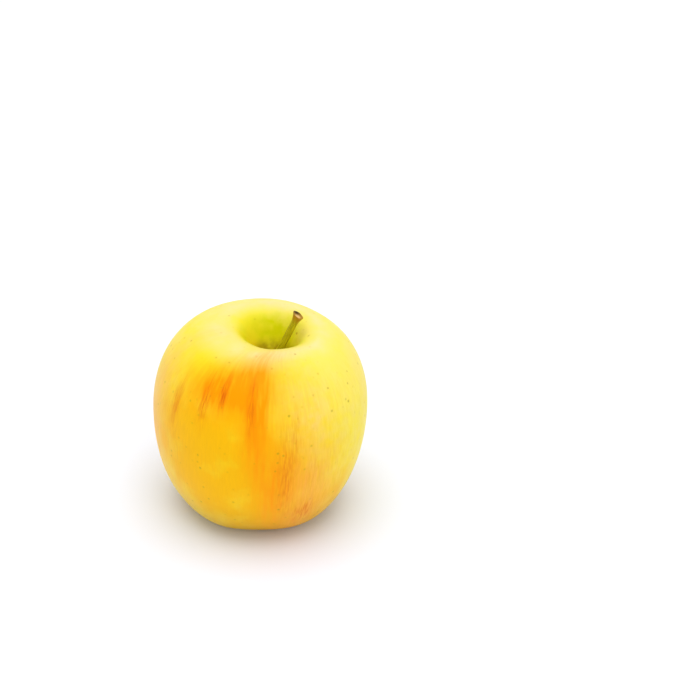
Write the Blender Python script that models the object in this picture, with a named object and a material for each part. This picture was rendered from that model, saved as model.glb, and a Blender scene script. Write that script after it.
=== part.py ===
"""A whole dessert apple standing on its calyx end, with its stem and its dried calyx.

The fruit is one solid: skin and uncut flesh. Its form is a profile of four smooth spans, turned about a
core that is a little off centre, and then swelled by the five lobes that an apple has round its base.
The stem stands in a socket at the bottom of the stem cavity. Five dried sepals and a tuft of dried
stamens stand in the eye, at the top of the basin under the apple.

Units are metres, +Z is up, and the origin is on the surface that the apple rests on, under its middle.
The stem leans towards +X.
"""

import math

import bmesh
import bpy
import numpy as np

# Driving dimensions of the fruit
EQUATOR_RADIUS = 0.0380
EQUATOR_HEIGHT = 0.0408
SHOULDER_HEIGHT = 0.0720
SHOULDER_RING_RADIUS = 0.0157
BASE_RING_RADIUS = 0.0153

# Stem cavity, and the socket that the stem's foot stands in
CAVITY_DEPTH = 0.0140
SOCKET_RADIUS = 0.00195
SOCKET_DEPTH = 0.0026
CAVITY_OFFSET_X = 0.0036
CAVITY_OFFSET_Y = -0.0009
CAVITY_OFFSET_FADE = 4.0

# Basin under the apple, and the eye at its top
BASIN_DEPTH = 0.0090
EYE_RADIUS = 0.0034
EYE_DEPTH = 0.0014

# How long each curve handle is, as a share of the way that its end of the span goes
SHOULDER_TOP_HANDLE = 0.31
SHOULDER_SIDE_HANDLE = 0.79
FLANK_SIDE_HANDLE = 0.35
FLANK_BASE_HANDLE = 0.81
CAVITY_RIM_HANDLE = 0.465
BASIN_RIM_HANDLE = 0.42

# How far each handle goes outwards and up or down from the cavity's floor and from the eye
CAVITY_FLOOR_HANDLE = (0.0080, 0.0049)
BASIN_FLOOR_HANDLE = (0.0026, -0.0036)

# What makes this apple uneven
LOBE_COUNT = 5
LOBE_ANGLE = math.radians(20.0)
LOBE_SWELL = 0.0004
LOBE_RISE = 0.0005
LOBE_REACH = 0.95
CROWN_SWELL = 0.00015
CROWN_ANGLE = math.radians(1.0)
CROWN_REACH = 0.90
OVAL_SHARE = 0.015
OVAL_ANGLE = math.radians(-50.0)
SHOULDER_TILT_X = -0.050
SHOULDER_TILT_Y = 0.032
LEAN = 0.026
FLAT_DEPTH = 0.00025

# Stem: its path from the foot in the socket to the cut end
STEM_FOOT_LEAN = 0.50
STEM_TIP_LEAN = 0.38
STEM_FOOT_HANDLE = 0.0072
STEM_TIP_HANDLE = 0.0060
STEM_BEND = 0.0007
STEM_TIP = (0.0131, 0.0, 0.0765)

# Stem: its thickness, and the ridges along it
STEM_RADIUS = 0.00116
STEM_FOOT_SWELL = 0.00029
STEM_FOOT_TAPER = 0.24
STEM_KNOB_SWELL = 0.00080
STEM_KNOB_START = 0.82
STEM_KNOB_CURVE = 1.6
STEM_OVAL = 0.05
STEM_OVAL_ANGLE = 0.6
STEM_RIDGES = 5
STEM_RIDGE_SIZE = 0.035
STEM_RIDGE_START = 0.16
STEM_RIDGE_FULL = 0.28

# Stem: the level foot, the sloping cut and the sunken scar in it
STEM_LEVEL_END = 0.20
STEM_CUT_START = 0.75
STEM_CUT_SLOPE = math.radians(13.0)
STEM_SCAR_SHARE = 0.62
STEM_SCAR_DEPTH = 0.0005

# Dried sepals
SEPAL_COUNT = 5
SEPAL_LENGTH = 0.0064
SEPAL_WIDTH = 0.0021
SEPAL_WIDENING = 0.65
SEPAL_POINT = 0.97
SEPAL_THICKNESS = 0.0005
SEPAL_THINNING = 0.55
SEPAL_FOOT_RADIUS = 0.0027
SEPAL_LEAN_IN = 0.0005
SEPAL_CURL_OUT = 0.0022
SEPAL_CURL_UP = 0.30
SEPAL_HOLLOW = 0.16

# Tuft of dried stamens
TUFT_RADIUS = 0.0011
TUFT_HEIGHT = 0.0036
TUFT_RIBS = 9
TUFT_RIB_SIZE = 0.13
TUFT_FOOT = 0.80
TUFT_OPENING = 0.25
TUFT_CLOSING = 0.35

# Clearance between neighbouring pieces
GAP = 0.0003

# Facets
FRUIT_SEGMENTS = 72
CAVITY_STEPS = 9
SHOULDER_STEPS = 10
FLANK_STEPS = 14
BASIN_STEPS = 8
STEM_SEGMENTS = 16
STEM_STEPS = 22
SEPAL_SEGMENTS = 10
SEPAL_STEPS = 8
TUFT_SEGMENTS = 27
TUFT_STEPS = 5
CREASE_ANGLE = math.radians(50.0)

# Colours as seen: warm yellow skin, olive stem, brown calyx
SKIN_COLOUR = (0.93, 0.62, 0.07, 1.0)
STEM_COLOUR = (0.22, 0.20, 0.03, 1.0)
SEPAL_COLOUR = (0.19, 0.13, 0.06, 1.0)
TUFT_COLOUR = (0.09, 0.055, 0.03, 1.0)

# Stations along the profile, where one span of the fruit ends and the next begins
CAVITY_FLOOR, TOP_RING, EQUATOR, BASE_RING, EYE_RIM = 0.0, 1.0, 2.0, 3.0, 4.0


def clear_scene():
    """Removes what the scene holds."""
    for old in list(bpy.data.objects):
        bpy.data.objects.remove(old, do_unlink=True)


def make_material(name, colour, roughness):
    """A plain non-metallic material."""
    material = bpy.data.materials.new(name)
    material.use_nodes = True
    shader = material.node_tree.nodes["Principled BSDF"]
    shader.inputs["Base Color"].default_value = colour
    shader.inputs["Roughness"].default_value = roughness
    shader.inputs["Metallic"].default_value = 0.0
    return material


def bezier(ends, share):
    """Points of the cubic curve with these four control points, at each share of the way along it."""
    first, second, third, last = (np.asarray(point, float) for point in ends)
    far = np.atleast_1d(share)[:, None]
    near = 1.0 - far
    return near**3 * first + 3 * near**2 * far * second + 3 * near * far**2 * third + far**3 * last


def fruit_profile():
    """Radius, height and station of each ring of the fruit, from the socket's floor to the eye's."""
    floor = np.array([SOCKET_RADIUS, SHOULDER_HEIGHT - CAVITY_DEPTH])
    top = np.array([SHOULDER_RING_RADIUS, SHOULDER_HEIGHT])
    side = np.array([EQUATOR_RADIUS, EQUATOR_HEIGHT])
    base = np.array([BASE_RING_RADIUS, 0.0])
    eye = np.array([EYE_RADIUS, BASIN_DEPTH])
    out = np.array([1.0, 0.0])
    up = np.array([0.0, 1.0])
    cavity = (
        floor,
        floor + np.array(CAVITY_FLOOR_HANDLE),
        top - out * CAVITY_RIM_HANDLE * SHOULDER_RING_RADIUS,
        top,
    )
    shoulder = (
        top,
        top + out * SHOULDER_TOP_HANDLE * (EQUATOR_RADIUS - SHOULDER_RING_RADIUS),
        side + up * SHOULDER_SIDE_HANDLE * (SHOULDER_HEIGHT - EQUATOR_HEIGHT),
        side,
    )
    flank = (
        side,
        side - up * FLANK_SIDE_HANDLE * EQUATOR_HEIGHT,
        base + out * FLANK_BASE_HANDLE * (EQUATOR_RADIUS - BASE_RING_RADIUS),
        base,
    )
    basin = (
        base,
        base - out * BASIN_RIM_HANDLE * BASE_RING_RADIUS,
        eye + np.array(BASIN_FLOOR_HANDLE),
        eye,
    )
    spans = ((cavity, CAVITY_STEPS), (shoulder, SHOULDER_STEPS), (flank, FLANK_STEPS), (basin, BASIN_STEPS))
    points = [[floor - up * SOCKET_DEPTH, floor]]
    stations = [[CAVITY_FLOOR, CAVITY_FLOOR]]
    for number, (ends, steps) in enumerate(spans):
        share = np.arange(1, steps + 1) / steps
        points.append(bezier(ends, share))
        stations.append(number + share)
    points.append([eye + up * EYE_DEPTH])
    stations.append([EYE_RIM])
    radius, height = np.vstack(points).T
    return radius, height, np.concatenate(stations)


def window(station, centre, reach):
    """1 at a station, falling smoothly to 0 at a reach either side of it."""
    share = np.clip(np.abs(station - centre) / reach, 0.0, 1.0)
    return np.cos(share * math.pi / 2) ** 2


def core_offset(height, station):
    """Where the core lies, in X and Y: all of the cavity's offset inside it, and less over the shoulder."""
    fade = np.clip(EQUATOR - station, 0.0, 1.0) ** CAVITY_OFFSET_FADE
    return CAVITY_OFFSET_X * fade + LEAN * (height - EQUATOR_HEIGHT), CAVITY_OFFSET_Y * fade


def fruit_rings():
    """The fruit's rings of points, from the bottom of the socket round the outside to the eye."""
    radius, height, station = (values[:, None] for values in fruit_profile())
    angle = np.arange(FRUIT_SEGMENTS)[None, :] * 2 * math.pi / FRUIT_SEGMENTS
    lobe = np.cos(LOBE_COUNT * (angle - LOBE_ANGLE))
    crown = np.cos(LOBE_COUNT * (angle - CROWN_ANGLE))
    low = window(station, BASE_RING, LOBE_REACH)
    high = window(station, TOP_RING, CROWN_REACH)
    top = np.clip(EQUATOR - station, 0.0, 1.0) ** 2
    out_of_socket = np.minimum(station, 1.0)

    oval = OVAL_SHARE * np.cos(2 * (angle - OVAL_ANGLE)) * out_of_socket
    spread = radius * (1.0 + oval) + LOBE_SWELL * low * lobe
    around_x, around_y = spread * np.cos(angle), spread * np.sin(angle)
    rise = LOBE_RISE * low * (1.0 - lobe) / 2 + CROWN_SWELL * high * crown
    tilt = top * (SHOULDER_TILT_X * around_x + SHOULDER_TILT_Y * around_y) * out_of_socket
    z = height + rise + tilt - FLAT_DEPTH
    z = np.where(station > EQUATOR, np.maximum(z, 0.0), z)

    core_x, core_y = core_offset(height, station)
    x = around_x + core_x
    x[0] -= STEM_FOOT_LEAN * SOCKET_DEPTH
    return np.stack(np.broadcast_arrays(x, around_y + core_y, z), axis=2)


def unit(vectors):
    """Each vector made 1 long."""
    return vectors / np.linalg.norm(vectors, axis=-1, keepdims=True)


def stem_path(share):
    """Points along the middle of the stem, from its foot in the socket to its cut end."""
    mouth_height = SHOULDER_HEIGHT - CAVITY_DEPTH
    mouth = np.array([*core_offset(mouth_height, CAVITY_FLOOR), mouth_height - FLAT_DEPTH])
    foot_way = np.array([STEM_FOOT_LEAN, 0.0, 1.0])
    tip_way = np.array([STEM_TIP_LEAN, 0.0, 1.0])
    foot = mouth - foot_way * (SOCKET_DEPTH - GAP)
    tip = np.array(STEM_TIP)
    bend = np.array([0.0, STEM_BEND, 0.0])
    foot_handle = foot + foot_way * STEM_FOOT_HANDLE
    tip_handle = tip - tip_way * STEM_TIP_HANDLE + bend
    return bezier((foot, foot_handle, tip_handle, tip), share)


def stem_radius(share):
    """The stem's radius: a swollen foot, a slim middle and a knob at the cut end."""
    foot = STEM_FOOT_SWELL * np.exp(-((share / STEM_FOOT_TAPER) ** 2))
    knob_share = np.clip((share - STEM_KNOB_START) / (1.0 - STEM_KNOB_START), 0.0, 1.0)
    return STEM_RADIUS + foot + STEM_KNOB_SWELL * knob_share**STEM_KNOB_CURVE


def stem_rings():
    """The stem's rings: level at the foot, square to its path, and a sloping cut with a sunken scar."""
    share = np.linspace(0.0, 1.0, STEM_STEPS + 1)
    centres = stem_path(share)
    ways = unit(np.gradient(centres, axis=0))
    across = unit(np.cross(np.array([0.0, 1.0, 0.0]), ways))
    aside = np.cross(ways, across)
    angle = np.arange(STEM_SEGMENTS) * 2 * math.pi / STEM_SEGMENTS
    ridges = STEM_OVAL * np.cos(2 * angle + STEM_OVAL_ANGLE) + STEM_RIDGE_SIZE * np.cos(STEM_RIDGES * angle)
    free = np.clip((share - STEM_RIDGE_START) / (STEM_RIDGE_FULL - STEM_RIDGE_START), 0.0, 1.0)
    spread = stem_radius(share)[:, None] * (1.0 + free[:, None] * ridges)
    east = (spread * np.cos(angle))[:, :, None]
    north = (spread * np.sin(angle))[:, :, None]
    rings = centres[:, None, :] + across[:, None, :] * east + aside[:, None, :] * north

    cut = math.tan(STEM_CUT_SLOPE) * np.clip((share - STEM_CUT_START) / (1.0 - STEM_CUT_START), 0.0, 1.0)
    level = across[:, 2] / ways[:, 2] * np.clip(1.0 - share / STEM_LEVEL_END, 0.0, 1.0)
    rings -= ways[:, None, :] * (cut + level)[:, None, None] * east
    middle = rings[-1].mean(axis=0)
    scar = middle + (rings[-1] - middle) * STEM_SCAR_SHARE - ways[-1] * STEM_SCAR_DEPTH
    return np.concatenate([rings, scar[None]])


def eye_ceiling():
    """The middle of the plane that the sepals and stamens start from, a gap below the eye's ceiling."""
    return np.array([*core_offset(BASIN_DEPTH, EYE_RIM), BASIN_DEPTH + EYE_DEPTH - FLAT_DEPTH - GAP])


def sepal_rings(number):
    """The rings of one dried sepal: a hollow pointed leaf that leans in and curls back at its tip."""
    share = np.linspace(0.0, 1.0, SEPAL_STEPS + 1)
    turn = 2 * math.pi * number / SEPAL_COUNT + LOBE_ANGLE
    outward = np.array([math.cos(turn), math.sin(turn), 0.0])
    sideways = np.array([-math.sin(turn), math.cos(turn), 0.0])
    down = np.array([0.0, 0.0, -1.0])
    reach = SEPAL_FOOT_RADIUS - SEPAL_LEAN_IN * np.sin(share * math.pi) + SEPAL_CURL_OUT * share**4
    drop = SEPAL_LENGTH * (share - SEPAL_CURL_UP * share**4)
    middle = eye_ceiling() + outward * reach[:, None] + down * drop[:, None]
    face = unit(np.cross(unit(np.gradient(middle, axis=0)), sideways))

    half_width = SEPAL_WIDTH / 2 * (1.0 + SEPAL_WIDENING * share) * np.sqrt(1.0 - SEPAL_POINT * share**2)
    half_thickness = SEPAL_THICKNESS / 2 * (1.0 - SEPAL_THINNING * share)
    angle = np.arange(SEPAL_SEGMENTS) * 2 * math.pi / SEPAL_SEGMENTS
    flat = half_width[:, None] * np.cos(angle)
    hollow = SEPAL_HOLLOW * half_width[:, None] * np.cos(angle) ** 2
    thick = half_thickness[:, None] * np.sin(angle) - hollow
    return middle[:, None, :] + sideways * flat[:, :, None] + face[:, None, :] * thick[:, :, None]


def tuft_rings():
    """The rings of the dried stamens, packed together as a ribbed bundle that opens and then closes."""
    share = np.linspace(0.0, 1.0, TUFT_STEPS + 1)[:, None]
    angle = np.arange(TUFT_SEGMENTS)[None, :] * 2 * math.pi / TUFT_SEGMENTS
    ribs = 1.0 + TUFT_RIB_SIZE * np.cos(TUFT_RIBS * angle)
    spread = TUFT_RADIUS * (TUFT_FOOT + TUFT_OPENING * share - TUFT_CLOSING * share**4) * ribs
    middle = eye_ceiling()
    z = np.broadcast_to(middle[2] - TUFT_HEIGHT * share, spread.shape)
    return np.stack([middle[0] + spread * np.cos(angle), middle[1] + spread * np.sin(angle), z], axis=2)


def loft(name, rings, material):
    """Makes one closed body of rings of points, each end closed by a fan to its middle."""
    body = bmesh.new()
    loops = [[body.verts.new(point) for point in ring] for ring in rings]
    count = len(loops[0])
    for lower, upper in zip(loops, loops[1:]):
        for i in range(count):
            j = (i + 1) % count
            body.faces.new((lower[i], lower[j], upper[j], upper[i]))
    for loop in (loops[0], loops[-1]):
        middle = body.verts.new(np.mean([vertex.co[:] for vertex in loop], axis=0))
        for i in range(count):
            body.faces.new((loop[i], loop[(i + 1) % count], middle))
    bmesh.ops.recalc_face_normals(body, faces=body.faces)
    mesh = bpy.data.meshes.new(name)
    body.to_mesh(mesh)
    body.free()
    mesh.materials.append(material)
    mesh.shade_smooth()
    mesh.set_sharp_from_angle(angle=CREASE_ANGLE)
    piece = bpy.data.objects.new(name, mesh)
    bpy.context.scene.collection.objects.link(piece)
    return piece


def main():
    """Builds the apple's pieces and parents them to one empty at the origin."""
    clear_scene()
    apple = bpy.data.objects.new("apple", None)
    bpy.context.scene.collection.objects.link(apple)
    skin = make_material("apple_skin", SKIN_COLOUR, 0.38)
    stem = make_material("stem_bark", STEM_COLOUR, 0.62)
    dried_leaf = make_material("dried_sepal", SEPAL_COLOUR, 0.85)
    dried_stamen = make_material("dried_stamen", TUFT_COLOUR, 0.90)
    pieces = [
        loft("fruit", fruit_rings(), skin),
        loft("stem", stem_rings(), stem),
        loft("stamen_tuft", tuft_rings(), dried_stamen),
    ]
    for number in range(SEPAL_COUNT):
        pieces.append(loft(f"sepal_{number + 1}", sepal_rings(number), dried_leaf))
    for piece in pieces:
        piece.parent = apple


main()
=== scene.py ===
"""The looks of a whole dessert apple: waxed skin, stem, dried calyx, a pale studio and its camera.

Every shape is a surface of two parameters, worked out as whole arrays. Across the skin one parameter is
the station along a profile, from the socket under the stem to the eye in the base, and the other is the
angle round the core. Lengths are metres, +Z is up, and the apple stands on Z = 0.
"""

from __future__ import annotations

import logging
import math
from dataclasses import dataclass, field
from enum import Enum

import bpy
import numpy as np
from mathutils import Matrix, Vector


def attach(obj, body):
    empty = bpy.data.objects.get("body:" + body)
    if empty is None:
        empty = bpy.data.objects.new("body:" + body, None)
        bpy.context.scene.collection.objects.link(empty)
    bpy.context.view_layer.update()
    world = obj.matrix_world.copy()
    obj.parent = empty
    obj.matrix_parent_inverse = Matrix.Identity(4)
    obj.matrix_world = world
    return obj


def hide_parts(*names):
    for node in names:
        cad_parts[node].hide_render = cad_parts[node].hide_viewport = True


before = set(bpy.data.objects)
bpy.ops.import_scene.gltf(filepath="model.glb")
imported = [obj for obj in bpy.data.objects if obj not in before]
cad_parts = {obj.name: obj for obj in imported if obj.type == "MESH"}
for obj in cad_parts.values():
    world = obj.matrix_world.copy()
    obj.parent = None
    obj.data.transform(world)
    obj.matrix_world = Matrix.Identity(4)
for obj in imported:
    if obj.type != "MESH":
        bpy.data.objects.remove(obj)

LOG = logging.getLogger("apple")
BODY = "root"
MM = 0.001


def linear(colour: str) -> tuple[float, float, float, float]:
    """Turns an sRGB hex colour to linear red, green, blue and a full alpha.

    Args:
        colour: Six hex digits after a hash sign.

    Returns:
        The four linear values.
    """
    parts = (int(colour[i : i + 2], 16) / 255 for i in (1, 3, 5))
    return (*(p / 12.92 if p <= 0.04045 else ((p + 0.055) / 1.055) ** 2.4 for p in parts), 1.0)


def add_node(
    tree: bpy.types.NodeTree,
    kind: str,
    settings: dict[str, object] | None = None,
    links: dict[str | int, object] | None = None,
) -> bpy.types.Node:
    """Adds one node to a tree.

    Args:
        tree: The node tree.
        kind: The node's type name.
        settings: Attribute names and their values.
        links: Input names or numbers, each with a plain value or the output socket that feeds it.

    Returns:
        The node.
    """
    node = tree.nodes.new(kind)
    for name, value in (settings or {}).items():
        setattr(node, name, value)
    for name, value in (links or {}).items():
        if isinstance(value, bpy.types.NodeSocket):
            tree.links.new(value, node.inputs[name])
        else:
            node.inputs[name].default_value = value
    return node


def start_material(name: str) -> tuple[bpy.types.Material, bpy.types.NodeTree, bpy.types.Node]:
    """Makes a material with only its output node.

    Args:
        name: The material's name.

    Returns:
        The material, its node tree and its output node.
    """
    material = bpy.data.materials.new(name)
    material.use_nodes = True
    tree = material.node_tree
    tree.nodes.clear()
    return material, tree, add_node(tree, "ShaderNodeOutputMaterial")


def unit(vectors: np.ndarray) -> np.ndarray:
    """Each vector of an array made 1 long."""
    return vectors / np.linalg.norm(vectors, axis=-1, keepdims=True)


def smooth(values: np.ndarray, low: float, high: float) -> np.ndarray:
    """0 up to low, 1 from high on, and a smooth S between: 3t^2 - 2t^3.

    Args:
        values: The values.
        low: Where the S begins.
        high: Where it ends; it may lie below low, which turns the S round.

    Returns:
        The S at each value.
    """
    t = np.clip((values - low) / (high - low), 0.0, 1.0)
    return t * t * (3.0 - 2.0 * t)


def bezier(ends: np.ndarray, share: np.ndarray) -> np.ndarray:
    """Points of cubic curves: each control point weighted by its Bernstein polynomial.

    Args:
        ends: Control points, with the four on the second last axis.
        share: The share of the way along, one for each curve.

    Returns:
        One point for each share.
    """
    far = share[..., None]
    near = 1.0 - far
    first, second, third, last = (ends[..., i, :] for i in range(4))
    return near**3 * first + 3 * near**2 * far * second + 3 * near * far**2 * third + far**3 * last


@dataclass(frozen=True)
class Tube:
    """A closed body: points by ring, then round the ring, and the marks that the points carry.

    The left of the way from ring to ring points out of the body. A mark is a single value or a vector at
    each point, and becomes an attribute of its own name.
    """

    rings: np.ndarray
    marks: dict[str, np.ndarray] = field(default_factory=dict)

    def points(self) -> np.ndarray:
        """The points in one list, with the middles of the first and the last ring added."""
        return self.with_middles(self.rings)

    def faces(self, start: int) -> tuple[np.ndarray, np.ndarray]:
        """Joins each ring to the next with quads, and closes each end with a fan of triangles.

        Args:
            start: The number of the body's first point in its mesh.

        Returns:
            The quads and the triangles.
        """
        rows, columns = self.rings.shape[:2]
        index = start + np.arange(rows * columns).reshape(rows, columns)
        following = np.roll(index, -1, axis=1)
        quads = np.stack([index[:-1], following[:-1], following[1:], index[1:]], axis=2).reshape(-1, 4)
        first = np.full(columns, start + rows * columns)
        near = np.stack([following[0], index[0], first], axis=1)
        far = np.stack([index[-1], following[-1], first + 1], axis=1)
        return quads, np.concatenate([near, far])

    @staticmethod
    def with_middles(values: np.ndarray) -> np.ndarray:
        """Values at the grid's points in one list, with the means of the first and last ring added."""
        width = values.shape[2] if values.ndim == 3 else 1
        return np.concatenate([values.reshape(-1, width), values[[0, -1]].mean(axis=1).reshape(2, width)])


def make_piece(name: str, tubes: list[Tube]) -> bpy.types.Object:
    """Makes one smooth piece of closed bodies.

    Args:
        name: The piece's name.
        tubes: The bodies, all with the same marks.

    Returns:
        The piece, at the origin.
    """
    lists = [tube.points() for tube in tubes]
    starts = np.cumsum([0] + [len(points) for points in lists[:-1]])
    pairs = [tube.faces(int(start)) for tube, start in zip(tubes, starts)]
    quads = np.concatenate([pair[0] for pair in pairs])
    fans = np.concatenate([pair[1] for pair in pairs])
    corners = np.concatenate([quads.ravel(), fans.ravel()])
    sizes = np.repeat([4, 3], [len(quads), len(fans)])
    points = np.concatenate(lists)

    mesh = bpy.data.meshes.new(name)
    mesh.vertices.add(len(points))
    mesh.vertices.foreach_set("co", points.astype(np.float32).ravel())
    mesh.loops.add(len(corners))
    mesh.loops.foreach_set("vertex_index", corners.astype(np.int32))
    mesh.polygons.add(len(sizes))
    mesh.polygons.foreach_set("loop_start", (np.cumsum(sizes) - sizes).astype(np.int32))
    mesh.polygons.foreach_set("use_smooth", np.ones(len(sizes), bool))
    for mark in tubes[0].marks:
        values = np.concatenate([Tube.with_middles(tube.marks[mark]) for tube in tubes])
        kind, slot = ("FLOAT_VECTOR", "vector") if values.shape[1] == 3 else ("FLOAT", "value")
        attribute = mesh.attributes.new(mark, kind, "POINT")
        attribute.data.foreach_set(slot, values.astype(np.float32).ravel())
    mesh.update()
    mesh.validate()
    piece = bpy.data.objects.new(name, mesh)
    bpy.context.scene.collection.objects.link(piece)
    return piece


def hand_over(
    piece: bpy.types.Object,
    material: bpy.types.Material,
    nodes: tuple[str, ...],
) -> None:
    """Dresses a piece, sets it on the apple's body and lets it stand for its solids.

    Args:
        piece: The piece.
        material: Its finish.
        nodes: The solids that it stands for.
    """
    piece.data.materials.append(material)
    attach(piece, BODY)
    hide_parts(*nodes)
    LOG.info("%s: %d faces for %s", piece.name, len(piece.data.polygons), ", ".join(nodes))


class Layer(Enum):
    """A colour that lies over the lemon ground of the skin, named as its attribute is."""

    BLOOM = "bloom"
    AMBER = "amber"
    OLIVE_SHADE = "olive"
    CREAM_AND_HIGHLIGHT = "cream_and_highlight"
    PEACH = "peach"
    FLECK = "fleck"
    FLUSH = "flush"
    RED = "red"
    GREEN = "green"
    RUSSET_AND_SHADE = "russet"


class Grain(Enum):
    """What breaks up a colour."""

    FIBRE = "hair streaks from stem to calyx"
    STREAK = "thin streaks from stem to calyx"
    MOTTLE = "soft round clouds"
    DAPPLE = "small round clouds"


@dataclass(frozen=True)
class Tint:
    """One soft oval of colour on the skin.

    The oval fades as exp(-a^2 - b^2), where a is the way round from its middle over its half width, and b
    the way up or down from its middle over its half length. Angles are in degrees from +X towards +Y, and
    ways up in millimetres along the skin from the equator. A strength below 0 thins the layer.
    """

    layer: Layer
    azimuth: float
    up: float
    half_width: float
    half_length: float
    strength: float


@dataclass(frozen=True)
class Paint:
    """How one layer is laid on: its colour, its grain, and how far the grain thins and thickens it."""

    layer: Layer
    colour: str
    grain: Grain
    contrast: float


@dataclass(frozen=True)
class WaxedSkin:
    """Ripe apple skin under its own wax, rubbed to a satin shine.

    The eye sees lemon yellow going to amber, an orange flush broken into streaks that run from stem to
    calyx, green down in the stem cavity, brown russet where the skin meets stem and calyx, darkened deep in
    the cavity as painted shade, a paler band over the shoulder that is partly a painted highlight, a pale
    bloom and fine brown flecks over all of it, and a soft broad shine. Fruit wax has an IOR of about 1.44.
    The flesh just under the skin lets light through, so edges of shadows turn warm.
    """

    ground: str = "#F7E42A"
    paints: tuple[Paint, ...] = (
        Paint(Layer.BLOOM, "#F6E6A6", Grain.DAPPLE, 1.00),
        Paint(Layer.AMBER, "#F7BB04", Grain.MOTTLE, 0.35),
        # The olive is the colour of the painted shade low on the fruit.
        Paint(Layer.OLIVE_SHADE, "#C29A08", Grain.MOTTLE, 0.20),
        # A pale colour that is partly paler skin and partly a painted highlight.
        Paint(Layer.CREAM_AND_HIGHLIGHT, "#F6E29A", Grain.MOTTLE, 0.45),
        Paint(Layer.PEACH, "#FBB95C", Grain.STREAK, 0.45),
        Paint(Layer.FLECK, "#D69810", Grain.FIBRE, 1.00),
        Paint(Layer.FLUSH, "#F99900", Grain.STREAK, 0.34),
        Paint(Layer.RED, "#DE6A06", Grain.FIBRE, 1.00),
        Paint(Layer.GREEN, "#D6D500", Grain.DAPPLE, 0.30),
        # Russet, dark enough to serve also as the painted shade deep in the cavity.
        Paint(Layer.RUSSET_AND_SHADE, "#8E6610", Grain.DAPPLE, 0.50),
    )
    pore: str = "#AE8C10"
    sheen: str = "#FFE690"
    roughness: float = 0.40

    @staticmethod
    def grain(tree: bpy.types.NodeTree, vector: bpy.types.NodeSocket, scale: float) -> bpy.types.NodeSocket:
        """Adds a noise stretched to run from 0 to 1.

        Args:
            tree: The node tree.
            vector: What the noise is laid out in.
            scale: How many times finer than that its features are.

        Returns:
            The socket that gives the noise.
        """
        noise = add_node(tree, "ShaderNodeTexNoise", links={"Vector": vector, "Scale": scale, "Detail": 4.0})
        stretched = add_node(tree, "ShaderNodeMapRange", links={0: noise.outputs["Fac"], 1: 0.3, 2: 0.7})
        return stretched.outputs[0]

    def painted(
        self, tree: bpy.types.NodeTree, grains: dict[Grain, bpy.types.NodeSocket]
    ) -> bpy.types.NodeSocket:
        """Lays the paints over the ground in order, each as thick as its attribute and its grain say.

        Args:
            tree: The node tree.
            grains: The socket of each grain.

        Returns:
            The socket that gives the colour.
        """
        top = linear(self.ground)
        for paint in self.paints:
            mark = add_node(tree, "ShaderNodeAttribute", {"attribute_name": paint.layer.value})
            thickness = add_node(
                tree,
                "ShaderNodeMath",
                {"operation": "MULTIPLY_ADD"},
                {0: grains[paint.grain], 1: 2.0 * paint.contrast, 2: 1.0 - paint.contrast},
            )
            share = add_node(
                tree,
                "ShaderNodeMath",
                {"operation": "MULTIPLY", "use_clamp": True},
                {0: mark.outputs["Fac"], 1: thickness.outputs[0]},
            )
            mix = add_node(
                tree,
                "ShaderNodeMix",
                {"data_type": "RGBA"},
                {0: share.outputs[0], 6: top, 7: linear(paint.colour)},
            )
            top = mix.outputs[2]
        return top

    def dotted(
        self, tree: bpy.types.NodeTree, place: bpy.types.NodeSocket, colour: bpy.types.NodeSocket
    ) -> bpy.types.NodeSocket:
        """Lays the pores over a colour: a dot in the middle of each cell of a Voronoi pattern.

        Pores lie 3.4 mm apart in space, which sets one on the skin for each 7 mm square or so. Each is as
        dark as its cell's random red, squared, so most are faint.

        Args:
            tree: The node tree.
            place: The socket that gives the place.
            colour: The socket that gives the colour.

        Returns:
            The socket that gives the dotted colour.
        """
        pores = add_node(tree, "ShaderNodeTexVoronoi", links={"Vector": place, "Scale": 1 / (3.4 * MM)})
        dot = add_node(
            tree,
            "ShaderNodeMapRange",
            links={0: pores.outputs["Distance"], 1: 0.03, 2: 0.19, 3: 0.9, 4: 0.0},
        )
        depth = add_node(tree, "ShaderNodeMath", {"operation": "POWER"}, {0: pores.outputs["Color"], 1: 2.0})
        share = add_node(
            tree,
            "ShaderNodeMath",
            {"operation": "MULTIPLY"},
            {0: dot.outputs[0], 1: depth.outputs[0]},
        )
        mix = add_node(
            tree,
            "ShaderNodeMix",
            {"data_type": "RGBA"},
            {0: share.outputs[0], 6: colour, 7: linear(self.pore)},
        )
        return mix.outputs[2]

    def build(self) -> bpy.types.Material:
        """Sets the painted and dotted skin under a satin shader."""
        material, tree, output = start_material("waxed_apple_skin")
        place = add_node(tree, "ShaderNodeTexCoord").outputs["Object"]
        run = add_node(tree, "ShaderNodeAttribute", {"attribute_name": "run"}).outputs["Vector"]
        # One unit of the run attribute is 1.2 mm round the fruit and 9 mm along it, the size of a thin
        # streak. A hair streak is 0.5 mm wide and 4 mm long, and clouds are 9 and 3.5 mm across.
        grains = {
            Grain.FIBRE: self.grain(tree, run, 2.2),
            Grain.STREAK: self.grain(tree, run, 1.0),
            Grain.MOTTLE: self.grain(tree, place, 1 / (9 * MM)),
            Grain.DAPPLE: self.grain(tree, place, 1 / (3.5 * MM)),
        }
        skin = self.dotted(tree, place, self.painted(tree, grains))
        rough = add_node(
            tree,
            "ShaderNodeMapRange",
            links={0: grains[Grain.MOTTLE], 3: self.roughness - 0.05, 4: self.roughness + 0.05},
        )
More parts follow.
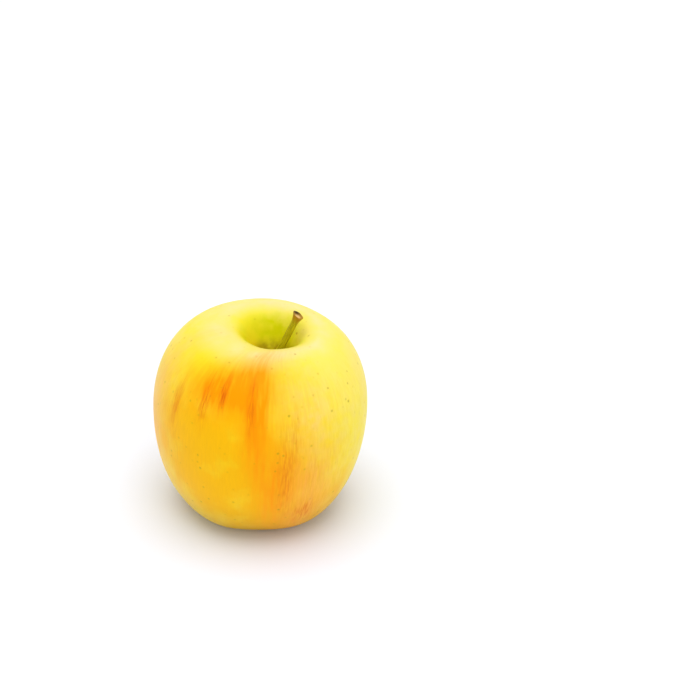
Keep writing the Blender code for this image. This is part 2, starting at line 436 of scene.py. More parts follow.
        # The cuticle's own grain is about 0.1 mm, too fine to show, so it is drawn at 0.7 mm.
        peel = add_node(
            tree,
            "ShaderNodeTexNoise",
            links={"Vector": place, "Scale": 1 / (0.7 * MM), "Detail": 2.0},
        )
        relief = add_node(
            tree,
            "ShaderNodeBump",
            links={"Height": peel.outputs["Fac"], "Strength": 0.05, "Distance": 0.3 * MM},
        )
        shader = add_node(
            tree,
            "ShaderNodeBsdfPrincipled",
            links={
                "Base Color": skin,
                "Roughness": rough.outputs[0],
                "IOR": 1.44,
                "Specular IOR Level": 0.18,
                "Specular Tint": linear(self.sheen),
                "Subsurface Weight": 0.12,
                "Subsurface Radius": (1.0, 0.5, 0.15),
                "Subsurface Scale": 3.0 * MM,
                "Normal": relief.outputs[0],
            },
        )
        tree.links.new(shader.outputs[0], output.inputs["Surface"])
        return material


@dataclass
class Fruit:
    """The skin of the fruit: a four-span profile turned about an uneven core."""

    # The profile's turning points, and the hollows at its ends.
    equator_radius: float = 0.0380
    equator_height: float = 0.0408
    shoulder_height: float = 0.0720
    shoulder_ring: float = 0.0157
    base_ring: float = 0.0153
    cavity_depth: float = 0.0140
    socket_radius: float = 0.00195
    socket_depth: float = 0.0026
    cavity_offset: tuple[float, float] = (0.0036, -0.0009)
    offset_fade: float = 4.0
    basin_depth: float = 0.0090
    eye_radius: float = 0.0034
    eye_depth: float = 0.0014
    # How far its control points stand off the turning points: shares of a width or a height, and for
    # the two floors a way out and a way up.
    shoulder_handles: tuple[float, float] = (0.31, 0.79)
    flank_handles: tuple[float, float] = (0.35, 0.81)
    cavity_rim_handle: float = 0.465
    basin_rim_handle: float = 0.42
    cavity_floor_handle: tuple[float, float] = (0.0080, 0.0049)
    basin_floor_handle: tuple[float, float] = (0.0026, -0.0036)
    # Lobes round the base, and fainter ones at the crown. A reach is counted in stations.
    lobes: int = 5
    lobe_angle: float = math.radians(20.0)
    lobe_swell: float = 0.0004
    lobe_rise: float = 0.0005
    lobe_reach: float = 0.95
    crown_swell: float = 0.00015
    crown_angle: float = math.radians(1.0)
    crown_reach: float = 0.90
    # What makes it lopsided, and the flats that it stands on.
    oval: float = 0.015
    oval_angle: float = math.radians(-50.0)
    shoulder_tilt: tuple[float, float] = (-0.050, 0.032)
    lean: float = 0.026
    flat_depth: float = 0.00025
    foot_lean: float = 0.50
    puckers: int = 15
    pucker_size: float = 0.00012
    pucker_station: float = 3.8
    pucker_reach: float = 0.35
    # The mesh, and the size of a thin streak.
    inset: float = 0.04 * MM
    row_step: float = 0.9 * MM
    columns: int = 640
    streak_width: float = 1.2 * MM
    streak_length: float = 9.0 * MM
    finish: WaxedSkin = field(default_factory=WaxedSkin)
    tints: tuple[Tint, ...] = (
        # The sunny side: one large orange flush on the front left shoulder, and its tail down the front.
        Tint(Layer.FLUSH, -119, 22.5, 19, 7, 0.85),
        Tint(Layer.FLUSH, -102, 27, 19, 8, 1.00),
        Tint(Layer.FLUSH, -93, 14, 7, 19, 1.05),
        Tint(Layer.FLUSH, -84, -14, 8, 18, 0.60),
        Tint(Layer.FLUSH, -74, -14, 12, 18, 0.35),
        Tint(Layer.FLUSH, -66, -36, 14, 8, 0.22),
        # Ripe amber below it and round the front.
        Tint(Layer.AMBER, -125, -2, 46, 28, 1.25),
        Tint(Layer.AMBER, -92, 33, 26, 7, 0.70),
        Tint(Layer.AMBER, -84, -22, 30, 30, 1.10),
        Tint(Layer.AMBER, -46, -34, 26, 20, 0.80),
        Tint(Layer.AMBER, -80, -52, 60, 12, 0.60),
        # Streaks of a deeper orange.
        Tint(Layer.RED, -114, 23, 2.4, 5, 0.85),
        Tint(Layer.RED, -125, 18, 2.8, 7, 0.54),
        Tint(Layer.RED, -96, 21, 2.6, 9, 0.56),
        Tint(Layer.RED, -76, -8, 4.4, 17, 0.36),
        Tint(Layer.RED, -63, -27, 7.0, 6, 0.50),
        Tint(Layer.RED, -145, 13, 3.0, 9, 0.38),
        Tint(Layer.RED, -71, 8, 2.2, 9, 0.20),
        Tint(Layer.RED, -61, -8, 4.0, 8, 0.12),
        # Paler, pinker skin beside the flush and on the left.
        Tint(Layer.PEACH, -170, -2, 14, 30, 0.60),
        Tint(Layer.CREAM_AND_HIGHLIGHT, -150, -34, 22, 14, 0.16),
        Tint(Layer.PEACH, -62, -16, 16, 22, 0.50),
        Tint(Layer.PEACH, -90, 39, 22, 5, 0.45),
        Tint(Layer.PEACH, -66, 23, 18, 10, 0.25),
        # Less bloom where the skin is ripest and on the shoulders, and more of it right of the flush.
        Tint(Layer.BLOOM, -105, 4, 42, 32, -0.13),
        Tint(Layer.BLOOM, -134, 31, 26, 10, -0.13),
        Tint(Layer.BLOOM, -28, 26, 18, 10, -0.13),
        Tint(Layer.BLOOM, -61, 12, 11, 10, 0.16),
        # Fine dark flecks, thickest on the left and at the lower right.
        Tint(Layer.FLECK, -152, -2, 26, 28, 0.08),
        Tint(Layer.FLECK, -60, -18, 26, 22, 0.07),
        # Cream on the right shoulder and round the rim of the cavity, partly paler skin and partly a painted
        # highlight; on the cavity's right wall, 49 mm up, it is a painted reflection.
        Tint(Layer.CREAM_AND_HIGHLIGHT, -24, 24, 34, 14, 0.34),
        Tint(Layer.CREAM_AND_HIGHLIGHT, -5, 49, 48, 4, 0.45),
        Tint(Layer.CREAM_AND_HIGHLIGHT, 75, 46, 34, 4, 0.42),
        Tint(Layer.CREAM_AND_HIGHLIGHT, -72, 42, 40, 4, 0.28),
        # The top ring, where the cavity begins, lies 42.5 mm up and the cavity's floor 63 mm. Inside, the
        # green thins out to yellow on the left wall and on the right.
        Tint(Layer.GREEN, 158, 54, 44, 7, -0.80),
        Tint(Layer.AMBER, 168, 57, 40, 5, 0.40),
        Tint(Layer.GREEN, 4, 52, 34, 7, -0.75),
        # The shaded side, out of sight: lemon, with amber low down and a few faint streaks.
        Tint(Layer.AMBER, 110, -24, 50, 22, 0.70),
        Tint(Layer.AMBER, 30, -40, 40, 14, 0.60),
        Tint(Layer.PEACH, 84, 4, 14, 22, 0.35),
        Tint(Layer.FLUSH, 150, -6, 20, 20, 0.45),
        Tint(Layer.RED, 146, -4, 8.0, 14, 0.20),
        Tint(Layer.FLUSH, 22, -8, 14, 18, 0.30),
        Tint(Layer.RED, 26, -4, 6.0, 12, 0.15),
    )

    def stations(self) -> tuple[np.ndarray, np.ndarray]:
        """Where the rings lie.

        Returns:
            The station of each ring, evenly spaced along the skin, and how far up the skin it lies from
            the equator, in millimetres.
        """
        fine = np.linspace(0.0, 4.0, 1601)
        radius, height = self.profile(fine).T
        length = np.concatenate([[0.0], np.cumsum(np.hypot(np.diff(radius), np.diff(height)))])
        count = int(length[-1] / self.row_step)
        even = np.interp(np.linspace(0.0, length[-1], count + 1), length, fine)
        up = np.interp(2.0, fine, length) - np.interp(even, fine, length)
        return even, up / MM

    def profile(self, station: np.ndarray) -> np.ndarray:
        """Radius and height at stations: 0 cavity floor, 1 top ring, 2 equator, 3 base ring, 4 eye rim.

        Args:
            station: The stations.

        Returns:
            A radius and a height for each.
        """
        floor = np.array([self.socket_radius, self.shoulder_height - self.cavity_depth])
        top = np.array([self.shoulder_ring, self.shoulder_height])
        side = np.array([self.equator_radius, self.equator_height])
        base = np.array([self.base_ring, 0.0])
        eye = np.array([self.eye_radius, self.basin_depth])
        out = np.array([1.0, 0.0])
        up = np.array([0.0, 1.0])
        across_top = self.equator_radius - self.shoulder_ring
        across_base = self.equator_radius - self.base_ring
        spans = np.array(
            [
                [
                    floor,
                    floor + self.cavity_floor_handle,
                    top - out * self.cavity_rim_handle * self.shoulder_ring,
                    top,
                ],
                [
                    top,
                    top + out * self.shoulder_handles[0] * across_top,
                    side + up * self.shoulder_handles[1] * (self.shoulder_height - self.equator_height),
                    side,
                ],
                [
                    side,
                    side - up * self.flank_handles[0] * self.equator_height,
                    base + out * self.flank_handles[1] * across_base,
                    base,
                ],
                [
                    base,
                    base - out * self.basin_rim_handle * self.base_ring,
                    eye + self.basin_floor_handle,
                    eye,
                ],
            ]
        )
        number = np.clip(station.astype(int), 0, 3)
        return bezier(spans[number], station - number)

    def core(self, height: np.ndarray, station: np.ndarray) -> tuple[np.ndarray, np.ndarray]:
        """Where the core lies: leaning with height, and off centre in the cavity.

        Args:
            height: Heights.
            station: Their stations.

        Returns:
            The core's X and its Y.
        """
        fade = np.clip(2.0 - station, 0.0, 1.0) ** self.offset_fade
        leaning = self.lean * (height - self.equator_height)
        return self.cavity_offset[0] * fade + leaning, self.cavity_offset[1] * fade

    def surface(self, station: np.ndarray, angle: np.ndarray) -> np.ndarray:
        """Points of the skin.

        A ring is a circle of the profile's radius, made slightly oval and swelled by the five lobes near
        the base, less an inset that keeps the rounder skin inside the box of the flat-sided solid. Its
        height is the profile's, raised between the lobes, rippled at the crown, puckered by the eye and
        tilted over the shoulder, and it is cut off flat where it would pass through the ground.

        Args:
            station: One station for each row.
            angle: One angle for each column.

        Returns:
            The grid of points.
        """
        radius, height = (values[:, None] for values in self.profile(station).T)
        station, angle = station[:, None], angle[None, :]
        lobe = np.cos(self.lobes * (angle - self.lobe_angle))
        crown = np.cos(self.lobes * (angle - self.crown_angle))
        low = self.window(station, 3.0, self.lobe_reach)
        high = self.window(station, 1.0, self.crown_reach)
        top = np.clip(2.0 - station, 0.0, 1.0) ** 2
        clear = np.minimum(station, 1.0)
        spread = radius * (1.0 + self.oval * np.cos(2 * (angle - self.oval_angle)) * clear)
        spread = spread + self.lobe_swell * low * lobe - self.inset * clear
        x, y = spread * np.cos(angle), spread * np.sin(angle)
        rise = self.lobe_rise * low * (1.0 - lobe) / 2 + self.crown_swell * high * crown
        near_eye = self.window(station, self.pucker_station, self.pucker_reach)
        rise = rise + self.pucker_size * near_eye * np.cos(self.puckers * angle)
        tilt = top * (self.shoulder_tilt[0] * x + self.shoulder_tilt[1] * y) * clear
        z = height + rise + tilt - self.flat_depth
        z = np.where(station > 2.0, np.maximum(z, 0.0), z)
        core_x, core_y = self.core(height, station)
        return np.stack(np.broadcast_arrays(x + core_x, y + core_y, z), axis=2)

    @staticmethod
    def window(station: np.ndarray, centre: float, reach: float) -> np.ndarray:
        """1 at a station, falling as a squared cosine to 0 at a reach either side of it."""
        return np.cos(np.clip(np.abs(station - centre) / reach, 0.0, 1.0) * math.pi / 2) ** 2

    @staticmethod
    def zones(station: np.ndarray, up: np.ndarray, open_skin: np.ndarray) -> dict[Layer, np.ndarray]:
        """How strong each layer is all the way round: a strength times an S of the station or the way up.

        Bloom and flecks lie on the open skin, paler skin and a painted highlight over the shoulder up to the
        rim, olive painted shade low down but less of it right underneath, green in the cavity, and russet at
        the stem and at the calyx, darkened deep in the cavity as painted shade.

        Args:
            station: One station for each row.
            up: How far up the skin each row lies, in millimetres.
            open_skin: 1 on the open skin, and 0 at the stem and at the calyx.

        Returns:
            The strengths of the layers that have such a ring, one for each row.
        """
        return {
            Layer.BLOOM: 0.13 * smooth(station, 0.60, 1.00) * open_skin,
            Layer.FLECK: 0.07 * smooth(up, 36.0, 18.0) * open_skin,
            # The pale band over the shoulder up to the rim is partly paler skin and partly a painted
            # highlight.
            Layer.CREAM_AND_HIGHLIGHT: 0.80 * smooth(up, 30.0, 43.0) * smooth(station, 0.75, 1.15),
            # Olive low down is painted shade: the floor's shadow on the bottom, laid into the colour.
            Layer.OLIVE_SHADE: 0.80 * smooth(up, -17.0, -43.0) - 0.40 * smooth(up, -38.0, -52.0),
            Layer.GREEN: smooth(station, 1.15, 0.45),
            # Deep in the cavity the russet is darkened further as painted shade, the dark just inside the
            # lip.
            Layer.RUSSET_AND_SHADE: 0.90 * (smooth(station, 0.40, 0.12) + smooth(station, 3.75, 4.00)),
        }

    def marks(self, station: np.ndarray, up: np.ndarray, angle: np.ndarray) -> dict[str, np.ndarray]:
        """The attributes that the finish reads.

        Args:
            station: One station for each row.
            up: How far up the skin each row lies, in millimetres.
            angle: One angle for each column.

        Returns:
            The strength of each layer, and the run: a vector whose first two parts go round the fruit and
            whose third goes along it.
        """
        azimuth = np.degrees(angle)[None, :]
        open_skin = smooth(station, 0.05, 0.25) * smooth(station, 3.6, 3.1)
        layers = {layer: np.zeros((len(station), len(angle))) for layer in Layer}
        for tint in self.tints:
            aside = (azimuth - tint.azimuth + 180.0) % 360.0 - 180.0
            oval = (aside / tint.half_width) ** 2 + ((up[:, None] - tint.up) / tint.half_length) ** 2
            layers[tint.layer] += tint.strength * np.exp(-oval) * open_skin[:, None]
        for layer, strength in self.zones(station, up, open_skin).items():
            layers[layer] += strength[:, None]
        marks = {layer.value: np.clip(values, 0.0, 1.0) for layer, values in layers.items()}
        turns = self.equator_radius / self.streak_width
        east, north = turns * np.cos(angle)[None, :], turns * np.sin(angle)[None, :]
        along = up[:, None] * MM / self.streak_length
        marks["run"] = np.stack(np.broadcast_arrays(east, north, along), axis=2)
        return marks

    def build(self) -> bpy.types.Object:
        """Makes the skin as one closed body.

        Returns:
            The dressed piece.
        """
        station, up = self.stations()
        angle = np.arange(self.columns) * 2 * math.pi / self.columns
        rings = self.surface(station, angle)
        socket = rings[:1] - np.array([self.foot_lean, 0.0, 1.0]) * self.socket_depth
        eye = rings[-1:] + np.array([0.0, 0.0, self.eye_depth])
        rings = np.concatenate([socket, rings, eye])
        marks = self.marks(station, up, angle)
        marks = {name: np.concatenate([values[:1], values, values[-1:]]) for name, values in marks.items()}
        skin = Tube(rings[:, ::-1], {name: values[:, ::-1] for name, values in marks.items()})
        piece = make_piece("apple_skin", [skin])
        hand_over(piece, self.finish.build(), ("fruit",))
        return piece


@dataclass(frozen=True)
class GreenBark:
    """The skin of a fruit stem: fibrous, matt, olive green, turning brown at the ends.

    The eye sees fine ridges along it, a brown rim at the cut, a small spot of pale pith inside the rim, and
    rot that has turned one side of the cut nearly black.
    """

    green: str = "#CCBE06"
    dark: str = "#9A8E04"
    brown: str = "#B08018"
    pith: str = "#EABF74"
    rot: str = "#241404"
    roughness: float = 0.55

    def build(self) -> bpy.types.Material:
        """Lays brown, pith and rot over green fibres 0.25 mm apart, each where its attribute says."""
        material, tree, output = start_material("fibrous_stem_bark")
        run = add_node(tree, "ShaderNodeAttribute", {"attribute_name": "run"}).outputs["Vector"]
        fibre = add_node(tree, "ShaderNodeTexNoise", links={"Vector": run, "Scale": 1.0, "Detail": 3.0})
        tone = add_node(tree, "ShaderNodeMapRange", links={0: fibre.outputs["Fac"], 1: 0.35, 2: 0.65})
        green = add_node(
            tree,
            "ShaderNodeMix",
            {"data_type": "RGBA"},
            {0: tone.outputs[0], 6: linear(self.dark), 7: linear(self.green)},
        )
        top = green.outputs[2]
        for name, colour in (("browning", self.brown), ("cut", self.pith), ("rot", self.rot)):
            share = add_node(tree, "ShaderNodeAttribute", {"attribute_name": name}).outputs["Fac"]
            mix = add_node(
                tree,
                "ShaderNodeMix",
                {"data_type": "RGBA"},
                {0: share, 6: top, 7: linear(colour)},
            )
            top = mix.outputs[2]
        relief = add_node(
            tree,
            "ShaderNodeBump",
            links={"Height": fibre.outputs["Fac"], "Strength": 0.5, "Distance": 0.15 * MM},
        )
        shader = add_node(
            tree,
            "ShaderNodeBsdfPrincipled",
            links={
                "Base Color": top,
                "Roughness": self.roughness,
                "IOR": 1.45,
                "Specular IOR Level": 0.22,
                "Normal": relief.outputs[0],
            },
        )
        tree.links.new(shader.outputs[0], output.inputs["Surface"])
        return material


@dataclass
class Stem:
    """The stem: a ridged tube along a slightly bent path, with a knob and a sloping cut at its end."""

    mouth: tuple[float, float, float]
    tip: tuple[float, float, float] = (0.0131, 0.0, 0.0765)
    foot_lean: float = 0.50
    tip_lean: float = 0.38
    foot_handle: float = 0.0072
    tip_handle: float = 0.0060
    bend: float = 0.0007
    sunk: float = 0.0023
    radius: float = 0.00116
    foot_swell: float = 0.00029
    foot_taper: float = 0.24
    knob_swell: float = 0.00080
    knob_start: float = 0.82
    knob_curve: float = 1.6
    oval: float = 0.05
    oval_angle: float = 0.6
    ridges: int = 5
    ridge_size: float = 0.035
    level_end: float = 0.20
    cut_start: float = 0.75
    cut_slope: float = math.radians(13.0)
    scar_depth: float = 0.0005
    rot_angle: float = math.radians(112.0)
    fibre_width: float = 0.25 * MM
    fibre_length: float = 3.0 * MM
    inset: float = 0.02 * MM
    rows: int = 160
    columns: int = 64
    finish: GreenBark = field(default_factory=GreenBark)

    def path(self, share: np.ndarray) -> np.ndarray:
        """Points of the cubic curve along the middle of the stem.

        Args:
            share: Shares of the way from the foot to the cut end.

        Returns:
            The points.
        """
        foot_way = np.array([self.foot_lean, 0.0, 1.0])
        tip_way = np.array([self.tip_lean, 0.0, 1.0])
        foot = np.array(self.mouth) - foot_way * self.sunk
        tip = np.array(self.tip)
        tip_handle = tip - tip_way * self.tip_handle + np.array([0.0, self.bend, 0.0])
        ends = np.array([foot, foot + foot_way * self.foot_handle, tip_handle, tip])
        return bezier(np.broadcast_to(ends, (len(share), 4, 3)), share)

    def surface(self, share: np.ndarray, angle: np.ndarray) -> np.ndarray:
        """Points of the bark.

        A ring stands square to the path. Its radius is a slim one plus a bell at the foot and a power of
        the way along the knob, with two waves round it for the oval and five for the ridges. Each ring is
        slanted along the path: level at the foot, sloping at the cut.

        Args:
            share: Shares of the way along, one for each row.
            angle: Angles round the stem, one for each column.

        Returns:
            The grid of points.
        """
        centres = self.path(share)
        ways = unit(np.gradient(centres, axis=0))
        across = unit(np.cross(np.array([0.0, 1.0, 0.0]), ways))
        aside = np.cross(ways, across)
        knob = np.clip((share - self.knob_start) / (1.0 - self.knob_start), 0.0, 1.0)
        radius = self.radius - self.inset + self.foot_swell * np.exp(-((share / self.foot_taper) ** 2))
        radius = radius + self.knob_swell * knob**self.knob_curve
        ripple = self.oval * np.cos(2 * angle + self.oval_angle)
        ripple = ripple + self.ridge_size * np.cos(self.ridges * angle)
        free = smooth(share, 0.12, 0.30)[:, None]
        spread = radius[:, None] * (1.0 + free * ripple[None, :])
        east = (spread * np.cos(angle))[:, :, None]
        north = (spread * np.sin(angle))[:, :, None]
        rings = centres[:, None, :] + across[:, None, :] * east + aside[:, None, :] * north
        cut = math.tan(self.cut_slope) * np.clip((share - self.cut_start) / (1.0 - self.cut_start), 0.0, 1.0)
        level = across[:, 2] / ways[:, 2] * np.clip(1.0 - share / self.level_end, 0.0, 1.0)
        return rings - ways[:, None, :] * (cut + level)[:, None, None] * east

    def build(self) -> bpy.types.Object:
        """Makes the stem with its rim turned in and its pith sunk below the rim.

        Returns:
            The dressed piece.
        """
        share = np.linspace(0.0, 1.0, self.rows)
        angle = np.arange(self.columns) * 2 * math.pi / self.columns
        rings = self.surface(share, angle)
        way = unit(self.path(np.array([1.0])) - self.path(np.array([0.98])))[0]
        middle = rings[-1].mean(axis=0)
        # The rings of the cut, from the rim to its middle: how far out and how deep each lies.
        inward = np.array([0.93, 0.80, 0.62, 0.35, 0.12])[:, None, None]
        sunk = np.array([-0.10, 0.02, 0.75, 1.0, 1.0])[:, None, None] * self.scar_depth
        scar = middle + (rings[-1] - middle) * inward - way * sunk
        rings = np.concatenate([rings, scar])

        along = np.concatenate([share, np.ones(len(scar))])[:, None] * np.ones(self.columns)
        # On the same rings, the pith shows in the middle. The rot fades round the rim as a bell about
        # its angle, and towards the middle.
        cut = np.zeros_like(along)
        cut[-5:] = np.array([0.0, 0.0, 0.2, 0.9, 1.0])[:, None]
        aside = (angle - self.rot_angle + math.pi) % (2 * math.pi) - math.pi
        rot = smooth(along, 0.97, 1.0) * np.exp(-(aside**2) / 1.3)
        rot[-5:] *= np.array([1.0, 1.0, 0.8, 0.4, 0.1])[:, None]
        browning = smooth(along, 0.80, 0.99) + smooth(along, 0.22, 0.08)
        length = np.linalg.norm(self.path(np.array([1.0])) - self.path(np.array([0.0])))
        turns = self.radius / self.fibre_width
        east, north = turns * np.cos(angle), turns * np.sin(angle)
        run = np.stack(np.broadcast_arrays(east, north, along * length / self.fibre_length), axis=2)
        marks = {"browning": np.clip(browning, 0.0, 1.0), "cut": cut, "rot": rot, "run": run}
        piece = make_piece("apple_stem", [Tube(rings, marks)])
        hand_over(piece, self.finish.build(), ("stem",))
        return piece


@dataclass(frozen=True)
class DriedLeaf:
    """Sepals and stamens dried on the fruit: papery, downy and dull, grey brown with darker tips."""

    name: str
    pale: str
    dark: str
    grain: float
    roughness: float = 0.85

    def build(self) -> bpy.types.Material:
        """Colours the pieces with blotches and gives them a papery relief."""
        material, tree, output = start_material(self.name)
        place = add_node(tree, "ShaderNodeTexCoord").outputs["Object"]
        blotch = add_node(
            tree,
            "ShaderNodeTexNoise",
            links={"Vector": place, "Scale": 1 / self.grain, "Detail": 4.0},
        )
        tone = add_node(tree, "ShaderNodeMapRange", links={0: blotch.outputs["Fac"], 1: 0.35, 2: 0.65})
        colour = add_node(
            tree,
            "ShaderNodeMix",
            {"data_type": "RGBA"},
            {0: tone.outputs[0], 6: linear(self.dark), 7: linear(self.pale)},
        )
        relief = add_node(
            tree,
            "ShaderNodeBump",
            links={"Height": blotch.outputs["Fac"], "Strength": 0.6, "Distance": 0.1 * MM},
        )
        shader = add_node(
            tree,
            "ShaderNodeBsdfPrincipled",
            links={
                "Base Color": colour.outputs[2],
                "Roughness": self.roughness,
                "Specular IOR Level": 0.25,
                "Normal": relief.outputs[0],
            },
        )
        tree.links.new(shader.outputs[0], output.inputs["Surface"])
        return material


@dataclass
class Calyx:
    """What is left of the blossom, up in the eye under the apple: five sepals round a tuft of stamens."""

    ceiling: tuple[float, float, float]
    turn: float
    sepals: int = 5
    sepal_length: float = 0.0064
    sepal_width: float = 0.0021
    widening: float = 0.65
    point: float = 0.97
    thickness: float = 0.0004
    thinning: float = 0.55
    foot_radius: float = 0.0027
    lean_in: float = 0.0005
    curl_out: float = 0.0022
    curl_up: float = 0.30
    hollow: float = 0.16
    crinkle: float = 0.06 * MM
    sepal_rows: int = 28
    sepal_columns: int = 24
    tuft_radius: float = 0.0011
    tuft_height: float = 0.0036
    cushion_shares: tuple[float, float] = (0.85, 0.45)
    cushion_rows: int = 12
    cushion_columns: int = 36
    ribs: int = 9
    rib_size: float = 0.10
    stamens: int = 18
    root_share: float = 0.72
    bow: float = 0.22
    thread_radius: float = 0.09 * MM
    thread_swell: float = 0.11 * MM
    thread_rows: int = 18
    thread_columns: int = 8
    leaf: DriedLeaf = DriedLeaf("dried_apple_sepal", "#8C7350", "#4A3620", 0.5 * MM)
    thread: DriedLeaf = DriedLeaf("dried_apple_stamen", "#5A4228", "#2A1D12", 0.4 * MM)

    def sepal(self, number: int) -> bpy.types.Object:
        """Makes one sepal.

        Its middle line leans in over the eye and curls back as the fourth power of the way along. Each
        ring is a flat oval, bent hollow across, that narrows to a point as the root of 1 less a square.

        Args:
            number: Which of the sepals, from 0.

        Returns:
            The dressed piece.
        """
        share = np.linspace(0.0, 1.0, self.sepal_rows)
        angle = np.arange(self.sepal_columns) * 2 * math.pi / self.sepal_columns
        turn = self.turn + 2 * math.pi * number / self.sepals
        outward = np.array([math.cos(turn), math.sin(turn), 0.0])
        sideways = np.array([-math.sin(turn), math.cos(turn), 0.0])
        reach = self.foot_radius - self.lean_in * np.sin(share * math.pi) + self.curl_out * share**4
        drop = self.sepal_length * (share - self.curl_up * share**4)
        middle = np.array(self.ceiling) + outward * reach[:, None] - np.array([0.0, 0.0, 1.0]) * drop[:, None]
        face = unit(np.cross(unit(np.gradient(middle, axis=0)), sideways))
        half_width = self.sepal_width / 2 * (1.0 + self.widening * share)
        half_width = half_width * np.sqrt(1.0 - self.point * share**2)
        half_thickness = self.thickness / 2 * (1.0 - self.thinning * share)
        flat = half_width[:, None] * np.cos(angle)
        crinkle = self.crinkle * np.sin(9.0 * share + 2.1 * number)[:, None] * np.cos(3 * angle)
        thick = half_thickness[:, None] * np.sin(angle) + crinkle * share[:, None]
        thick = thick - self.hollow * half_width[:, None] * np.cos(angle) ** 2
        rings = middle[:, None, :] + sideways * flat[:, :, None] + face[:, None, :] * thick[:, :, None]
        return make_piece(f"apple_sepal_{number + 1}", [Tube(rings)])

    def cushion(self) -> Tube:
        """Makes the ribbed cushion that the stamens grow from: a dome, round at its end as sqrt(1 - t^2)."""
        share = np.linspace(0.0, 0.98, self.cushion_rows)
        angle = np.arange(self.cushion_columns) * 2 * math.pi / self.cushion_columns
        ribs = 1.0 + self.rib_size * np.cos(self.ribs * angle)
        width, height = self.cushion_shares
        spread = width * self.tuft_radius * np.sqrt(1.0 - share**2)[:, None] * ribs
        drop = np.broadcast_to(height * self.tuft_height * share[:, None], spread.shape)
        rings = np.stack([spread * np.cos(angle), spread * np.sin(angle), -drop], axis=2)
        return Tube((rings + np.array(self.ceiling))[:, ::-1])

    def stamen(self, number: int) -> Tube:
        """Makes one stamen: a thread that bows outward as it hangs, with a swollen end.

        The roots lie on a sunflower spiral: turned by the golden angle, at the root of the share of the
        number. The end swells as a bell round nine tenths of the way.

        Args:
            number: Which of the stamens, from 0.

        Returns:
            The thread.
        """
        share = np.linspace(0.0, 1.0, self.thread_rows)
        angle = np.arange(self.thread_columns) * 2 * math.pi / self.thread_columns
        turn = number * math.pi * (3.0 - math.sqrt(5.0))
        way = np.array([math.cos(turn), math.sin(turn), 0.0])
        root = self.root_share * self.tuft_radius * math.sqrt((number + 0.5) / self.stamens)
        length = self.tuft_height * (0.88 + 0.11 * math.sin(2.7 * number))
        reach = root * (1.0 + self.bow * np.sin(share * math.pi * 0.8))
        thread = self.thread_radius * (1.0 - 0.3 * share)
        thread = thread + self.thread_swell * np.exp(-(((share - 0.9) / 0.07) ** 2))
        middle = np.array(self.ceiling) + way * reach[:, None] - np.array([0.0, 0.0, length]) * share[:, None]
        ring = np.stack([np.cos(angle), np.sin(angle), np.zeros_like(angle)], axis=1)
        return Tube((middle[:, None, :] + thread[:, None, None] * ring)[:, ::-1])

    def build(self) -> list[bpy.types.Object]:
        """Makes the sepals and the tuft, and dresses them.

        Returns:
            The pieces.
        """
        leaf = self.leaf.build()
        pieces = []
        for number in range(self.sepals):
            piece = self.sepal(number)
            hand_over(piece, leaf, (f"sepal_{number + 1}",))
            pieces.append(piece)
        stamens = [self.stamen(number) for number in range(self.stamens)]
        tuft = make_piece("apple_stamens", [self.cushion(), *stamens])
        hand_over(tuft, self.thread.build(), ("stamen_tuft",))
        return pieces + [tuft]


@dataclass(frozen=True)
class Softbox:
    """One far and very large lamp, which lights the floor evenly and casts soft shadows.

    Its azimuth runs from +X towards +Y and its spread is how wide it looks from the apple, all in degrees.
    Its strength is the light that it lays on a surface that faces it, in watts a square metre.
    """

    name: str
    azimuth: float
    elevation: float
    spread: float
    strength: float
    distance: float = 2.0

    def build(self) -> None:
        """Hangs the lamp and turns it to the apple."""
        light = bpy.data.lights.new(self.name, "SUN")
        light.angle = math.radians(self.spread)
        light.energy = self.strength
        lamp = bpy.data.objects.new(self.name, light)
        azimuth = math.radians(self.azimuth)
        elevation = math.radians(self.elevation)
        flat = math.cos(elevation)
        way = Vector((flat * math.cos(azimuth), flat * math.sin(azimuth), math.sin(elevation)))
        lamp.location = way * self.distance
        lamp.rotation_euler = (-way).to_track_quat("-Z", "Y").to_euler()
        bpy.context.scene.collection.objects.link(lamp)


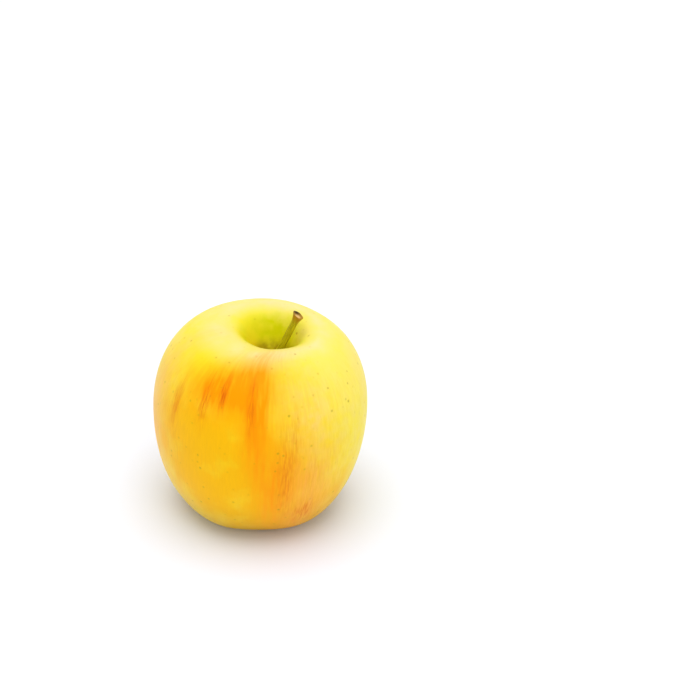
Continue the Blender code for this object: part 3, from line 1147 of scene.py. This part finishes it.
@dataclass
class Studio:
    """A white floor, white surroundings, soft lamps and the camera."""

    elevation: float = 32.0
    distance: float = 0.90
    frame_width: float = 0.2489
    pivot_height: float = 0.0362
    aside: float = 89.7
    above: float = 63.6
    picture: int = 700
    sensor: float = 36.0
    wall_light: float = 1.05
    ceiling_light: float = 0.50
    half_floor: float = 3.0
    paper: str = "#F0F4FE"
    softboxes: tuple[Softbox, ...] = (
        Softbox("overhead_softbox", -90.0, 87.0, 60.0, 1.72),
        Softbox("front_softbox", -75.0, 40.0, 40.0, 0.28),
    )

    def floor(self) -> None:
        """Lays a large matt white sheet under the apple."""
        half = self.half_floor
        corners = [(-half, -half, 0.0), (half, -half, 0.0), (half, half, 0.0), (-half, half, 0.0)]
        mesh = bpy.data.meshes.new("studio_floor")
        mesh.from_pydata(corners, [], [(0, 1, 2, 3)])
        sheet = bpy.data.objects.new("studio_floor", mesh)
        bpy.context.scene.collection.objects.link(sheet)
        material, tree, output = start_material("matt_white_paper")
        shader = add_node(
            tree,
            "ShaderNodeBsdfPrincipled",
            links={"Base Color": linear(self.paper), "Roughness": 0.9, "Specular IOR Level": 0.2},
        )
        tree.links.new(shader.outputs[0], output.inputs["Surface"])
        mesh.materials.append(material)

    def surroundings(self) -> None:
        """Lights the room white, brightest at the level of the floor and dimmer overhead."""
        world = bpy.data.worlds.new("white_room")
        world.use_nodes = True
        bpy.context.scene.world = world
        tree = world.node_tree
        tree.nodes.clear()
        way = add_node(tree, "ShaderNodeTexCoord").outputs["Generated"]
        height = add_node(tree, "ShaderNodeSeparateXYZ", links={0: way}).outputs["Z"]
        fall = add_node(
            tree,
            "ShaderNodeMapRange",
            {"interpolation_type": "SMOOTHSTEP"},
            {0: height, 1: 0.10, 2: 0.70, 3: self.wall_light, 4: self.ceiling_light},
        )
        glow = add_node(
            tree, "ShaderNodeBackground", links={"Color": linear("#FFFFFF"), "Strength": fall.outputs[0]}
        )
        output = add_node(tree, "ShaderNodeOutputWorld")
        tree.links.new(glow.outputs[0], output.inputs["Surface"])

    def camera(self) -> None:
        """Aims the camera at the apple, then swings it up and right, so the apple lies low and left."""
        angle = math.radians(self.elevation)
        back = Vector((0.0, -math.cos(angle), math.sin(angle)))
        right = Vector((1.0, 0.0, 0.0))
        up = Vector((0.0, math.sin(angle), math.cos(angle)))
        pivot = Vector((0.0, 0.0, self.pivot_height))
        pixel = self.frame_width / self.picture
        target = pivot + right * self.aside * pixel + up * self.above * pixel
        place = pivot + back * self.distance
        data = bpy.data.cameras.new("camera")
        data.sensor_width = self.sensor
        data.lens = self.sensor * self.distance / self.frame_width
        data.clip_start = 0.01
        data.clip_end = 20.0
        camera = bpy.data.objects.new("camera", data)
        camera.location = place
        level = (pivot - place).to_track_quat("-Z", "Y")
        swing = (pivot - place).rotation_difference(target - place)
        camera.rotation_euler = (swing @ level).to_euler()
        bpy.context.scene.collection.objects.link(camera)
        bpy.context.scene.camera = camera

    def build(self) -> None:
        """Builds the room, and has colours shown as they are lit, with no film curve."""
        self.floor()
        self.surroundings()
        for softbox in self.softboxes:
            softbox.build()
        self.camera()
        bpy.context.scene.view_settings.view_transform = "Standard"


def main() -> None:
    """Builds the studio and the apple."""
    logging.basicConfig(level=logging.INFO, format="%(name)s: %(message)s")
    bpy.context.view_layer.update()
    Studio().build()
    fruit = Fruit()
    fruit.build()
    mouth_height = fruit.shoulder_height - fruit.cavity_depth
    mouth = fruit.core(np.array(mouth_height), np.array(0.0))
    Stem((float(mouth[0]), float(mouth[1]), mouth_height - fruit.flat_depth)).build()
    eye = fruit.core(np.array(fruit.basin_depth), np.array(4.0))
    gap = 0.3 * MM
    ceiling = fruit.basin_depth + fruit.eye_depth - fruit.flat_depth - gap
    Calyx((float(eye[0]), float(eye[1]), ceiling), fruit.lobe_angle).build()


if __name__ == "__main__":
    main()
